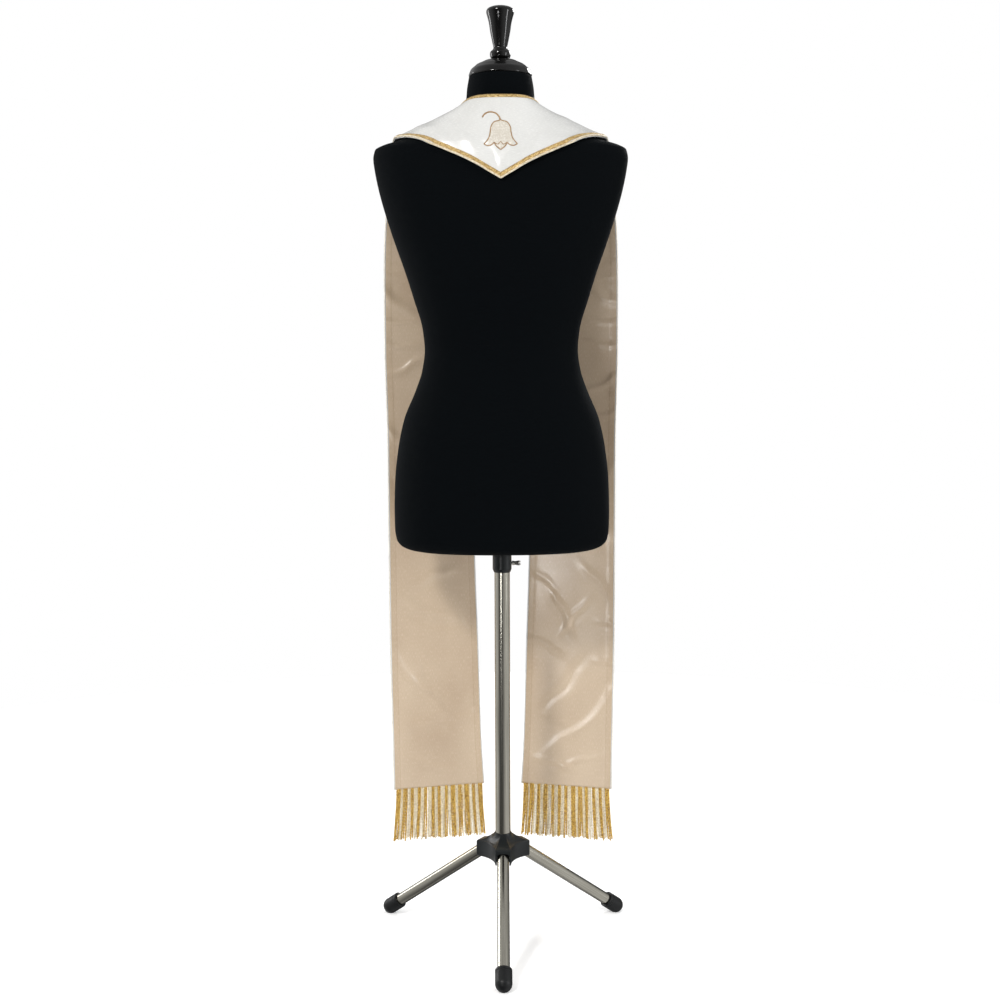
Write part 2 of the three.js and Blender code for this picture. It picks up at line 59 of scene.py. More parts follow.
# ---- camera, floor and light
LENS_MM, CAMERA_BACK, CAMERA_HEIGHT = 54.97, 2.4607, 0.9533
CAMERA_PITCH, CAMERA_ROLL = math.radians(5.248), math.radians(-0.21)
FLOOR_RADIUS, BACKDROP_RADIUS = 2.2, 13


def grey(value):
    return (value, value, value, 1)


class Recipe:
    """A node tree, with short ways to add nodes to it and to set its shader."""

    def __init__(self, owner, shader="Principled BSDF"):
        owner.use_nodes = True
        self.owner = owner
        self.tree = owner.node_tree
        self.shader = self.tree.nodes[shader]

    def feed(self, node, inputs):
        """Each input takes a number, a colour or another node's output."""
        for name, value in dict(inputs).items():
            if isinstance(value, bpy.types.NodeSocket):
                self.tree.links.new(value, node.inputs[name])
            else:
                node.inputs[name].default_value = value

    def shade(self, inputs):
        self.feed(self.shader, inputs)

    def add(self, kind, inputs=()):
        node = self.tree.nodes.new("ShaderNode" + kind)
        self.feed(node, inputs)
        return node

    def mapped(self, source="Object", scale=(1, 1, 1)):
        """Texture coordinates ('UV' or 'Object') stretched by `scale`."""
        coords = self.add("TexCoord").outputs[source]
        return self.add("Mapping", {"Scale": scale, "Vector": coords}).outputs["Vector"]

    def noise(self, vector, scale, detail):
        return self.add("TexNoise", {"Scale": scale, "Detail": detail, "Vector": vector}).outputs["Fac"]

    def waves(self, scale, direction, distortion):
        """Bands across the UVs."""
        node = self.add("TexWave", {"Scale": scale, "Distortion": distortion,
                                    "Vector": self.mapped("UV")})
        node.bands_direction = direction
        return node.outputs["Fac"]

    def ramp(self, value, *stops):
        """A blend between two stops, each a position and a colour."""
        node = self.add("ValToRGB", {"Fac": value})
        for element, (position, colour) in zip(node.color_ramp.elements, stops):
            element.position = position
            element.color = colour
        return node.outputs["Color"]

    def maths(self, operation, *values):
        node = self.add("Math", enumerate(values))
        node.operation = operation
        return node.outputs[0]

    def mixed(self, factor, a, b, blend="MIX"):
        node = self.add("Mix")
        node.data_type = "RGBA"
        node.blend_type = blend
        self.feed(node, {0: factor, 6: a, 7: b})
        return node.outputs[2]

    def tinted(self, colour, tint):
        return self.mixed(1.0, colour, tint, "MULTIPLY")

    def bumped(self, height, distance, strength):
        node = self.add("Bump", {"Distance": distance, "Strength": strength, "Height": height})
        self.shade({"Normal": node.outputs["Normal"]})

    def between(self, value, low, high):
        """1 where value lies between low and high."""
        return self.maths("MULTIPLY", self.maths("GREATER_THAN", value, low),
                          self.maths("LESS_THAN", value, high))

    def edge_distance(self):
        """The cloth's first UV layer starts at its inner edge, and the second at its outer."""
        distances = []
        for layer in ("cloth", "edges"):
            node = self.add("UVMap")
            node.uv_map = layer
            distances.append(self.add("SeparateXYZ", {0: node.outputs["UV"]}).outputs["X"])
        return self.maths("MINIMUM", *distances)


def new_recipe(name):
    return Recipe(bpy.data.materials.new(name))


def new_object(name, data):
    obj = bpy.data.objects.new(name, data)
    bpy.context.collection.objects.link(obj)
    return obj


def make_camera():
    data = bpy.data.cameras.new("camera")
    data.sensor_width = 36
    data.lens = LENS_MM
    camera = new_object("camera", data)
    camera.location = (0.003, TUBE_Y + CAMERA_BACK, CAMERA_HEIGHT)
    camera.rotation_euler = (math.pi / 2 - CAMERA_PITCH, 0, math.pi)
    camera.rotation_euler.rotate_axis("Z", CAMERA_ROLL)
    bpy.context.scene.camera = camera


def area_light(name, location, target, size, power, colour=(1, 1, 1)):
    data = bpy.data.lights.new(name, "AREA")
    data.shape = "RECTANGLE"
    data.size, data.size_y = size
    data.energy = power
    data.color = colour
    light = new_object(name, data)
    light.location = location
    light.rotation_euler = (Vector(target) - light.location).to_track_quat("-Z", "Y").to_euler()


def light_room():
    """Soft light from both sides and above, with dim walls before and behind, all one soft wash."""
    world = bpy.data.worlds.new("studio")
    bpy.context.scene.world = world
    room = Recipe(world, "Background")
    split = room.add("SeparateXYZ", {0: room.add("TexCoord").outputs["Generated"]})
    turn = room.maths("ARCTAN2", split.outputs["Y"], split.outputs["X"])
    twice = room.maths("MULTIPLY_ADD", turn, 2.0, -2 * math.radians(159))
    side = room.maths("MULTIPLY_ADD", room.maths("COSINE", twice), 0.5, 0.5)
    wall = room.ramp(side, (0.1, grey(0.1)), (0.75, grey(1)))
    above = room.maths("MULTIPLY_ADD", split.outputs["Z"], 2.2, -0.9)
    above = room.maths("MINIMUM", room.maths("MAXIMUM", above, 0.0), 1.0)
    room.shade({"Color": room.mixed(above, wall, grey(0.8)), "Strength": 0.78})


def make_studio():
    bpy.context.scene.view_settings.view_transform = "Standard"
    light_room()
    middle = (0, TUBE_Y, 0.85)
    area_light("key", (1.5, TUBE_Y + 2.5, 2.9), middle, (0.5, 0.5), 70, (1, 0.985, 0.96))
    area_light("side", (-2.9, TUBE_Y + 1.3, 1.3), middle, (0.4, 1.8), 26, (0.97, 0.985, 1))
    area_light("low", (0.9, TUBE_Y + 2.9, 0.35), (0, TUBE_Y, 0.5), (0.5, 0.3), 9)
    area_light("front_key", (-1.6, TUBE_Y - 2.6, 2.4), middle, (0.8, 0.8), 48)
    area_light("front_side", (2.7, TUBE_Y - 1.4, 1.3), middle, (0.5, 1.6), 20)
    make_backdrop()
    make_floor()


def make_floor():
    mesh = bpy.data.meshes.new("floor")
    count = 96
    turns = [2 * math.pi * k / count for k in range(count)]
    corners = [(FLOOR_RADIUS * math.cos(a), FLOOR_RADIUS * math.sin(a), 0) for a in turns]
    mesh.from_pydata(corners, [], [tuple(range(count))])
    floor = new_object("floor", mesh)
    white = new_recipe("floor_white")
    speckle = white.add("TexNoise", {"Scale": 90}).outputs["Fac"]
    grain = white.add("Bump", {"Strength": 0.05, "Height": speckle}).outputs["Normal"]
    white.shade({"Base Color": grey(0.94), "Emission Color": grey(1), "Emission Strength": 0.3,
                 "Roughness": 0.75, "Specular IOR Level": 0.1, "Normal": grain})
    mesh.materials.append(white.owner)
    floor.visible_glossy = False


def make_backdrop():
    """A white room wall all round. It is only seen: it throws no light and no shadow."""
    work = bmesh.new()
    bmesh.ops.create_uvsphere(work, u_segments=48, v_segments=24, radius=BACKDROP_RADIUS)
    mesh = bpy.data.meshes.new("backdrop")
    work.to_mesh(mesh)
    work.free()
    wall = new_object("backdrop", mesh)
    white = new_recipe("backdrop_white")
    white.shade({"Base Color": grey(0), "Specular IOR Level": 0, "Emission Color": grey(1),
                 "Emission Strength": 1.0})
    mesh.materials.append(white.owner)
    wall.visible_diffuse = False
    wall.visible_glossy = False
    wall.visible_transmission = False
    wall.visible_shadow = False


# ---- materials
def srgb(r, g, b):
    """A colour given as 0 to 255 values, made linear."""
    def linear(v):
        v /= 255
        return v / 12.92 if v <= 0.04045 else ((v + 0.055) / 1.055) ** 2.4
    return (linear(r), linear(g), linear(b), 1)


def satin_material(name, light, dark, allowance):
    """A satin weave: fine floats along the length, slow changes of tone, a slightly darker turned-in
    edge band with a line of painted shade along its inner step.
    """
    satin = new_recipe(name)
    floats = satin.noise(satin.mapped("UV", (1, 0.06, 1)), 2600, 2)
    weave = satin.waves(700, "DIAGONAL", 0.6)
    cloudy = satin.noise(satin.mapped(scale=(1, 1, 0.6)), 9, 3)
    tone = satin.ramp(cloudy, (0.3, dark), (0.7, light))
    colour = satin.tinted(tone, satin.ramp(floats, (0.2, grey(0.9)), (0.8, grey(1.04))))
    if allowance:
        edge = satin.edge_distance()
        crease = allowance - 0.0009
        # The narrow darker line at the band's inner edge is painted shade along the seam allowance's
        # step.
        for start, tint in ((0.0, (0.965, 0.955, 0.94, 1)), (crease, (0.9, 0.88, 0.85, 1))):
            band = satin.between(edge, start, allowance)
            colour = satin.mixed(band, colour, satin.tinted(colour, tint))
    satin.shade({"Base Color": colour, "Roughness": satin.maths("MULTIPLY_ADD", floats, 0.12, 0.2),
                 "Specular IOR Level": 0.8, "Coat Weight": 0.3, "Coat Roughness": 0.22,
                 "Sheen Weight": 0.12, "Sheen Roughness": 0.4})
    height = satin.maths("ADD", satin.maths("MULTIPLY", floats, 0.6), weave)
    satin.bumped(height, 0.00003, 0.4)
    return satin.owner


def jersey_material():
    jersey = new_recipe("black_jersey")
    knit = jersey.maths("MULTIPLY", jersey.waves(420, "X", 0.4), jersey.waves(420, "Y", 0.4))
    fluff = jersey.maths("MULTIPLY", knit, jersey.noise(jersey.mapped(), 700, 4))
    jersey.shade({"Base Color": jersey.ramp(fluff, (0.0, srgb(1, 3, 5)), (0.7, srgb(7, 12, 16))),
                  "Roughness": 0.92, "Specular IOR Level": 0.07, "Sheen Weight": 0.006,
                  "Sheen Roughness": 0.6, "Sheen Tint": (0.6, 0.75, 0.85, 1)})
    jersey.bumped(knit, 0.00012, 0.6)
    return jersey.owner


def plastic_material(name, low, high, roughness, grain, coat=0.0):
    plastic = new_recipe(name)
    vector = plastic.mapped()
    cloudy, smudge = plastic.noise(vector, 22, 4), plastic.noise(vector, 60, 5)
    plastic.shade({"Base Color": plastic.ramp(cloudy, (0.3, low), (0.75, high)),
                   "Roughness": plastic.maths("MULTIPLY_ADD", smudge, 0.12, roughness - 0.06),
                   "Specular IOR Level": 0.3, "Coat Weight": coat, "Coat Roughness": 0.06})
    plastic.bumped(plastic.noise(vector, 900, 3), grain, 0.7)
    return plastic.owner


def steel_material(name, low, high, roughness):
    """Brushed lengthways: UV x goes round the tube and y along it. Broad lengthwise darker bands round
    it are painted reflection streaks.
    """
    steel = new_recipe(name)
    brush = steel.noise(steel.mapped("UV", (1, 0.012, 1)), 900, 4)
    # Broad darker bands along the tube, at random turns round it: painted reflection streaks.
    wide = steel.noise(steel.mapped("UV", (1, 0.05, 1)), 30, 3)
    tone = steel.ramp(brush, (0.25, low), (0.75, high))
    shade = steel.ramp(wide, (0.3, (0.84, 0.84, 0.83, 1)), (0.7, grey(1)))
    steel.shade({"Base Color": steel.tinted(tone, shade), "Metallic": 1.0,
                 "Roughness": steel.maths("MULTIPLY_ADD", brush, 0.16, roughness - 0.08)})
    steel.bumped(brush, 0.00003, 0.4)
    return steel.owner


def thread_material(name, dark, light, metallic, roughness, pitch):
    """Twisted or braided thread, with sparkles where the metal film catches the light, and colour
    specks that are partly painted glints.
    """
    thread = new_recipe(name)
    vector = thread.mapped()
    strands = thread.waves(pitch, "DIAGONAL", 1.5)
    glints = thread.noise(vector, 1500, 2)
    mottled = thread.maths("MULTIPLY", thread.noise(vector, 260, 3), 0.35)
    # The fine bright and dark specks in the colour are partly random tone and partly painted glints of
    # the metal film.
    grain = thread.maths("MULTIPLY_ADD", thread.noise(vector, 430, 1), 0.75, mottled)
    tone = thread.maths("MULTIPLY_ADD", strands, 0.22, grain)
    thread.shade({"Base Color": thread.ramp(tone, (0.5, dark), (0.78, light)),
                  "Metallic": metallic, "Sheen Weight": 0.1,
                  "Roughness": thread.maths("MULTIPLY_ADD", glints, -0.4, roughness + 0.2)})
    thread.bumped(thread.maths("ADD", strands, glints), 0.00025, 0.8)
    return thread.owner


# ---- smooth tables and lines
def hermite(y, slope, i, h, s):
    """The cubic from row i to the next one, h apart, at the share s of the way."""
    rise = y[i] * (1 + 2 * s) * (1 - s) ** 2 + y[i + 1] * s * s * (3 - 2 * s)
    return rise + h * (slope[i] * s * (1 - s) ** 2 + slope[i + 1] * s * s * (s - 1))


def curve(xs, ys):
    """Through a table's rows without overshooting them (monotone cubic), as in the CAD model."""
    x, y = np.asarray(xs, float), np.asarray(ys, float)
    step = np.diff(y) / np.diff(x)
    slope = np.zeros_like(y)
    slope[0], slope[-1] = step[0], step[-1]
    a, b = step[:-1], step[1:]
    same = a * b > 0
    slope[1:-1][same] = 2 * a[same] * b[same] / (a[same] + b[same])

    def value(t):
        t = np.asarray(t, float)
        i = np.clip(np.searchsorted(x, t, side="left") - 1, 0, len(x) - 2)
        h = x[i + 1] - x[i]
        return hermite(y, slope, i, h, np.clip((t - x[i]) / h, 0, 1))
    return value


def unit(vectors):
    return vectors / np.linalg.norm(vectors, axis=1)[:, None]


def directions(points):
    return unit(np.gradient(points, axis=0))


def running_length(points):
    """The distance along a line of points, from 0 at its start."""
    return np.concatenate([[0], np.cumsum(np.linalg.norm(np.diff(points, axis=0), axis=1))])


def circle(count):
    return np.linspace(0, 2 * math.pi, count, endpoint=False)


# ---- the form's surface
FORM_SECTIONS = [  # z, half width, depth to the back, depth to the front, power of the outline
    (646, 122, 72, 66, 2.3), (647.4, 140, 82, 75, 2.3), (650.6, 154, 90, 83, 2.3),
    (656, 164, 96, 88, 2.3), (665, 170.3, 99.5, 91.5, 2.3), (682, 172.9, 102, 94, 2.3),
    (710, 173.4, 105, 98, 2.3), (760, 172, 108, 104, 2.3), (808, 167, 106, 107, 2.3),
    (857, 157, 96, 105, 2.25), (905, 137.5, 82, 96, 2.2), (937, 126.9, 75, 90, 2.2),
    (969, 122.7, 72, 87, 2.2), (1001, 125.7, 75, 91, 2.2), (1048, 139, 84, 110, 2.25),
    (1096, 154, 93, 130, 2.3), (1143, 170.5, 99, 133, 2.3), (1190, 185.3, 101, 122, 2.25),
    (1222, 193.8, 99.5, 112, 2.2), (1253, 199.9, 95, 99, 2.1), (1270, 201.9, 91.5, 91, 2.05),
    (1284, 199, 87.5, 84, 2), (1290, 188.5, 84.5, 80, 2), (1296.5, 167, 81, 76, 2),
    (1306.5, 141, 76, 71, 2), (1317.5, 115, 71.5, 66, 2), (1328.5, 91, 67, 61, 2),
    (1338, 72, 63, 57, 2), (1347.5, 59, 59.5, 54, 2), (1362, 54.2, 56.5, 52, 2),
    (1378, 52.8, 54, 51.5, 2), (1398, 49.4, 50, 49.4, 2),
]
SECTION_Z = [row[0] for row in FORM_SECTIONS]
half, back, front, power = (
    curve(SECTION_Z, [row[k] for row in FORM_SECTIONS]) for k in (1, 2, 3, 4))
FORM_CLEARANCE = 2.65
CLEARING_ROUNDS = 6


def form_level(p):
    """1 on the form's surface, less inside and more outside."""
    x, y, z = p[:, 0], p[:, 1], p[:, 2]
    n = power(z)
    depth = np.where(y > 0, back(z), front(z))
    return (np.abs(x / half(z)) ** n + np.abs(y / depth) ** n) ** (1 / n)


def form_slope(p):
    h = 0.5
    return np.stack([(form_level(p + h * axis) - form_level(p - h * axis)) / (2 * h)
                     for axis in np.eye(3)], axis=1)


def clear_of_form(p, room):
    """Pushes points out of the form until each is `room` mm off its surface."""
    p = p.copy()
    for _ in range(CLEARING_ROUNDS):
        slope = form_slope(p)
        size = np.linalg.norm(slope, axis=1)
        lack = room - (form_level(p) - 1) / size
        p += slope / size[:, None] * np.maximum(lack, 0)[:, None]
    return p


# ---- the stole's surface
STOLE_STATIONS = [  # inner edge x, y, z and outer edge x, y, z
    (0, 61, 1360, 0, 101, 1228),            # centre back
    (19, 58, 1359.7, 47, 97, 1255),
    (34, 51, 1359, 84, 85, 1272.5),
    (47, 37, 1356.5, 118, 66, 1286),
    (54.5, 19, 1353, 146, 41, 1295),
    (57.5, 1, 1350, 166, 9, 1300.5),        # the shoulder's ridge
    (57.5, -14, 1346.5, 170.5, -14, 1297),  # shoulder seam
    (57, -36, 1336, 174, -33, 1288),
    (56, -62, 1317, 178, -54, 1262),
    (54, -92, 1270, 184, -80, 1222),
    (52, -120, 1208, 191, -103, 1174),
    (50.5, -136, 1140, 194.5, -117, 1122),  # bust
    (49.5, -141, 1060, 196, -124, 1052),
    (49.5, -142, 970, 196, -126, 968),
    (49, -141, 800, 192.6, -126, 799),
    (46, -140, 620, 192.5, -125, 617),      # below the form
    (40.5, -139, 446, 191.5, -124, 441),
    (36, -138, 300, 189, -123, 294),
    (31.5, -138, 220.5, 188, -122, 213.5),  # hem
]
SEAM = 6
HEM = len(STOLE_STATIONS) - 1
edges = [curve(range(HEM + 1), [row[k] for row in STOLE_STATIONS]) for k in range(6)]


def stole_base(across, along):
    a = np.stack([f(along) for f in edges[:3]], axis=1)
    b = np.stack([f(along) for f in edges[3:]], axis=1)
    return clear_of_form(a + (b - a) * across[:, None], FORM_CLEARANCE)


def stole_width(along):
    along = np.atleast_1d(np.asarray(along, float))
    zero = np.zeros_like(along)
    return np.linalg.norm(stole_base(zero, along) - stole_base(zero + 1, along), axis=1)


def stole_frame(across, along):
    """Points of the base surface and its outward normals."""
    step = 0.02
    a0, a1 = np.maximum(0, across - step), np.minimum(1, across + step)
    s0, s1 = np.maximum(0, along - step), np.minimum(HEM, along + step)
    over = stole_base(a1, along) - stole_base(a0, along)
    down = stole_base(across, s1) - stole_base(across, s0)
    normal = -np.cross(over, down)
    normal[along < step, 0] = 0
    return stole_base(across, along), unit(normal)


# Distances along the middle of the cloth, so that rows can be evenly spaced.
FINE = np.linspace(0, HEM, 721)
middle_line = stole_base(np.full_like(FINE, 0.5), FINE)
run = running_length(middle_line)
seam_run = float(np.interp(SEAM, FINE, run))


def along_at(distance):
    """The station at a distance from the centre back, measured down the cloth's middle."""
    return np.interp(distance, run, FINE)


def run_at(along):
    return np.interp(along, FINE, run)


# ---- creases
# Each is a soft ridge, or a trough where its rise is negative, along a line on a front panel. A
# row holds the share of the width from the inner edge and the z of its start, the same of its end,
# its width and its rise. A crease is scaled by its panel's depth and the narrowing below.
CREASES_LEFT = [
    (0.93, 446, 0.56, 385, 9, 2.6), (0.72, 430, 0.5, 372, 14, -1.8), (0.19, 508, 0.04, 482, 6, 1.8),
    (0.8, 545, 0.42, 522, 10, 1.3), (0.66, 512, 0.3, 500, 9, -1.0), (0.35, 590, 0.62, 575, 11, 1.2),
    (0.62, 330, 0.9, 312, 12, 1.1), (0.15, 350, 0.46, 322, 10, -1.0), (0.7, 262, 0.38, 250, 9, 0.9),
    (0.99, 1022, 0.72, 1018, 5, 1.5), (1.0, 984, 0.7, 979, 6, 1.7), (0.98, 1064, 0.76, 1040, 14, 2.2),
    (0.97, 930, 0.7, 948, 8, 1.8), (1.0, 1150, 0.88, 1143, 4, 1.1), (1.0, 1128, 0.86, 1118, 4, -1.0),
    (1.0, 1098, 0.87, 1094, 4, 1.0), (1.0, 1072, 0.88, 1078, 4, -0.8), (0.98, 838, 0.8, 812, 9, 1.2),
    (0.92, 742, 0.8, 700, 10, -1.2),
]
CREASES_RIGHT = [
    (0.34, 541, 0.47, 500, 8, 2.4), (0.47, 500, 0.62, 528, 7, 1.9), (0.03, 474, 0.3, 455, 7, 2.2),
    (0.84, 436, 0.98, 432, 6, 1.9), (0.85, 505, 0.99, 500, 5, 1.6), (0.22, 262, 0.48, 250, 7, 1.7),
    (0.48, 250, 0.76, 264, 7, 1.5), (0.97, 385, 0.42, 300, 13, 1.5), (0.55, 420, 0.3, 372, 12, -1.5),
    (0.7, 590, 0.88, 560, 9, 1.2), (0.12, 585, 0.3, 560, 8, -1.2), (0.10, 345, 0.36, 332, 9, 1.0),
    (1.0, 1018, 0.74, 1021, 5, 1.6), (1.0, 979, 0.72, 985, 6, 1.5), (0.98, 1052, 0.78, 1066, 13, 2.0),
    (0.96, 925, 0.72, 905, 8, 1.7), (1.0, 1146, 0.87, 1151, 4, -1.0), (1.0, 1120, 0.88, 1113, 4, 1.2),
    (1.0, 1090, 0.86, 1084, 4, -0.9), (1.0, 870, 0.82, 856, 8, 1.2), (0.96, 770, 0.8, 735, 11, 1.1),
]
# On the yoke: x and z of both ends, width and rise.
CREASES_YOKE = [
    (-6, 1262, -20, 1288, 7, 0.9), (9, 1258, 26, 1280, 6, -0.8), (-34, 1272, -58, 1292, 8, 0.8),
    (44, 1276, 66, 1300, 9, 0.8), (-2, 1240, 4, 1256, 5, 0.7), (92, 1296, 118, 1310, 9, 0.9),
    (-96, 1298, -122, 1306, 8, -0.8), (-72, 1316, -96, 1326, 10, 0.7), (70, 1322, 98, 1322, 9, -0.7),
]


def ridge(u, v, start, end, width, rise):
    """A soft ridge along a line, steeper on one side, that fades out at both ends."""
    line = np.subtract(end, start)
    length = np.hypot(*line)
    line = line / length
    t = (u - start[0]) * line[0] + (v - start[1]) * line[1]
    d = (u - start[0]) * line[1] - (v - start[1]) * line[0]
    d = d + 0.12 * length * np.sin(math.pi * np.clip(t / length, 0, 1))
    past = np.maximum(np.maximum(-t, t - length), 0) / (0.35 * length + width)
    side = np.exp(-(d / width) ** 2) - 0.22 * np.exp(-((d - 1.7 * width) / (1.3 * width)) ** 2)
    return rise * side * np.exp(-past ** 2)


PANEL_WIDTH = 150
CREASE_NARROWING = 0.62


def panel_relief(across, z, sign):
    """Out of the panel's plane, in mm, towards the back. Free below the bust, none on the form."""
    table, depth = (CREASES_LEFT, 1.4) if sign > 0 else (CREASES_RIGHT, 0.95)
    u = across * PANEL_WIDTH
    total = np.zeros_like(z)
    for a0, z0, a1, z1, size, rise in table:
        total += depth * ridge(u, z, (a0 * PANEL_WIDTH, z0), (a1 * PANEL_WIDTH, z1),
                               CREASE_NARROWING * size, rise)
    total += 1.5 * np.sin(z / 71 + sign * 0.8 + u / 160) * np.sin(u / 58 + 0.6 * sign)
    total += 0.7 * np.sin(z / 29 - u / 47 + sign) * np.sin(z / 173 + 1.4)
    total += 0.35 * np.sin(z / 13 + 0.8 * np.sin(u / 21)) * np.exp(-((across - 1) / 0.12) ** 2)
    hanging = np.clip((1175 - z) / 90, 0, 1)
    pinned = np.clip((z - 213) / 30, 0.25, 1)
    return total * hanging * hanging * (3 - 2 * hanging) * pinned


def yoke_relief(x, z):
    total = np.zeros_like(z)
    for x0, z0, x1, z1, size, rise in CREASES_YOKE:
        total += 1.5 * ridge(x, z, (x0, z0), (x1, z1), 0.8 * size, rise)
    total += 0.25 * np.sin(x / 17 + z / 23) * np.sin(z / 19)
    return total


def on_panel(sign):
    return lambda across, base: -panel_relief(across, base[:, 2], sign)


def on_yoke(across, base):
    return yoke_relief(base[:, 0], base[:, 2])


# ---- mesh making
def make_object(name, points, faces, material, uvs=None, edges_uv=None, smooth=True):
    mesh = bpy.data.meshes.new(name)
    mesh.from_pydata([tuple(p) for p in points], [], [tuple(f) for f in faces])
    mesh.validate()
    for label, layer in (("cloth", uvs), ("edges", edges_uv)):
        if layer is None:
            continue
        values = np.asarray(layer, np.float32)
        loops = np.empty(len(mesh.loops), np.int64)
        mesh.loops.foreach_get("vertex_index", loops)
        mesh.uv_layers.new(name=label).data.foreach_set("uv", values[loops].ravel())
    mesh.materials.append(material)
    if smooth:
        mesh.polygons.foreach_set("use_smooth", np.ones(len(mesh.polygons), bool))
    mesh.update()
    return new_object(name, mesh)


def joined(parts):
    """One mesh from parts that each hold points, faces and UVs."""
    points, faces, uvs = [], [], []
    for vertices, corners, uv in parts:
        faces += [tuple(len(points) + k for k in face) for face in corners]
        points.extend(vertices)
        uvs.extend(uv)
    return points, faces, uvs


def grid_faces(rows, columns):
    """Faces of an open sheet of rows by columns of points."""
    return [(a, a + columns, a + columns + 1, a + 1)
            for i in range(rows - 1) for a in range(i * columns, i * columns + columns - 1)]


def outward(mesh, crisp=180):
    """Turns faces outwards. Edges that turn more than `crisp` degrees stay crisp when smooth."""
    work = bmesh.new()
    work.from_mesh(mesh)
    bmesh.ops.recalc_face_normals(work, faces=work.faces)
    for edge in work.edges:
        if len(edge.link_faces) == 2 and edge.calc_face_angle(0) > math.radians(crisp):
            edge.smooth = False
    work.to_mesh(mesh)
    work.free()


def finish_piece(obj, body, slot, *nodes):
    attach(obj, body)
    if nodes:
        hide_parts(*nodes)
    return obj


def wall_faces(columns, rows, flip=False):
    """Faces of a closed wall: low points first, then high ones, each columns+1 by rows+1."""
    ahead = (columns + 1) * (rows + 1)
    i, j = np.meshgrid(np.arange(columns), np.arange(rows), indexing="ij")
    a = (i * (rows + 1) + j).ravel()
    b, c, d = a + 1, a + rows + 2, a + rows + 1
    quads = [np.stack([a + ahead, b + ahead, c + ahead, d + ahead], 1), np.stack([a, d, c, b], 1)]
    down, over = np.arange(rows + 1), np.arange(columns + 1) * (rows + 1)
    for line, turn in ((over, False), (over + rows, True), (down, True), (down + over[-1], False)):
        p, q = line[:-1], line[1:]
        side = np.stack([p, p + ahead, q + ahead, q], 1)
        quads.append(side[:, ::-1] if turn else side)
    faces = np.concatenate(quads)
    return faces[:, ::-1] if flip else faces


def cloth_wall(name, distances, alongs, low, high, material, sign, relief):
    """A shell of cloth. `distances` maps the widths to mm from the inner edge, a column each."""
    width = stole_width(np.abs(alongs))
    columns = distances(width)
    count, rows = columns.shape[0], len(alongs)
    across = (columns / width[None, :]).ravel()
    along = np.broadcast_to(np.abs(alongs), (count, rows)).ravel()
    base, normal = stole_frame(np.clip(across, 0, 1), along)
    mirror = np.broadcast_to(np.where(alongs < 0, -1, 1) * sign, (count, rows)).ravel()
    base[:, 0] *= mirror
    normal[:, 0] *= mirror
    lift = relief(across, base)
    u = columns.ravel()
    w = np.broadcast_to(width, (count, rows)).ravel()
    distance = np.broadcast_to(np.sign(alongs) * run_at(np.abs(alongs)), (count, rows)).ravel()
    layers = []
    for side in (low, high):
        amount = side(u, w) if callable(side) else side
        layers.append(base + normal * (lift + amount)[:, None])
    uv = np.stack([u, distance], 1) * MM
    far = np.stack([w - u, distance], 1) * MM
    points = place(np.concatenate(layers))
    faces = wall_faces(count - 1, rows - 1, flip=sign < 0)
    obj = make_object(name, points, faces, material, np.tile(uv, (2, 1)), np.tile(far, (2, 1)))
    return obj, surface_area(layers[1], count, rows)


def surface_area(points, count, rows):
    """The area in square metres of a grid of points."""
    grid = points.reshape(count, rows, 3) * MM
    d1 = grid[1:, 1:] - grid[:-1, :-1]
    d2 = grid[1:, :-1] - grid[:-1, 1:]
    return float(np.linalg.norm(np.cross(d1, d2), axis=2).sum() / 2)


def full_columns(inset, count):
    """Even columns, with extra ones near both edges."""
    share = np.linspace(0, 1, count)
    share = np.unique(np.concatenate([share, [0.004, 0.01, 0.018, 0.99, 0.982, 0.996]]))
    return lambda width: inset + share[:, None] * (width[None, :] - 2 * inset)


def rows_between(start, end, spacing):
    count = max(2, int(round((end - start) / spacing)))
    return along_at(np.linspace(start, end, count + 1))


SEAM_GAP = 0.25
PANEL_ALONGS = rows_between(seam_run + SEAM_GAP, run[-1], 4.5)
YOKE_HALF = rows_between(0, seam_run - SEAM_GAP, 3.0)
YOKE_ALONGS = np.concatenate([-YOKE_HALF[:0:-1], YOKE_HALF])
SIDES = (("left", 1), ("right", -1))
TURNED_EDGE = 2.2


# ---- the cloth
def panel_back(u, width):
    """The satin's back face: close behind its front, but turned over the lining at the edges."""
    edge = np.minimum(u, width - u)
    return 1.5 - 1.75 * (1 - np.clip((edge - TURNED_EDGE) / 0.5, 0, 1))


def rounded_front(u, width):
    edge = np.minimum(u, width - u)
    return 3.0 - 1.8 * (1 - np.clip(edge / 2.6, 0, 1)) ** 2


def lining_back(u, width):
    """The seam allowance under the lining lifts it a little along both long edges."""
    edge = np.minimum(u, width - u)
    step = 1 - np.clip((edge - 11.4) / 1.2, 0, 1)
    return -0.4 * step * step * (3 - 2 * step)


YOKE_BACK, LINING_FRONT = 0.2, 0.9
PANEL_COLUMNS, YOKE_COLUMNS = 53, 49


def make_panels(satin, champagne):
    made = {}
    for side, sign in SIDES:
        panel, area = cloth_wall(f"satin_panel_{side}", full_columns(0, PANEL_COLUMNS),
                                 PANEL_ALONGS, panel_back, rounded_front, satin, sign, on_panel(sign))
        finish_piece(panel, "form", "satin", f"front_panel_{side}")
        lining, lining_area = cloth_wall(
            f"lining_sheet_{side}", full_columns(TURNED_EDGE, PANEL_COLUMNS), PANEL_ALONGS,
            lining_back, LINING_FRONT, champagne, sign, on_panel(sign))
        finish_piece(lining, "form", "champagne", f"lining_{side}")
        made[side] = (panel, area, lining, lining_area)
    return made


def make_yoke(satin):
    yoke, area = cloth_wall("satin_yoke", full_columns(0, YOKE_COLUMNS), YOKE_ALONGS, YOKE_BACK,
                            rounded_front, satin, 1, on_yoke)
    finish_piece(yoke, "form", "satin", "back_yoke")
    return yoke, area


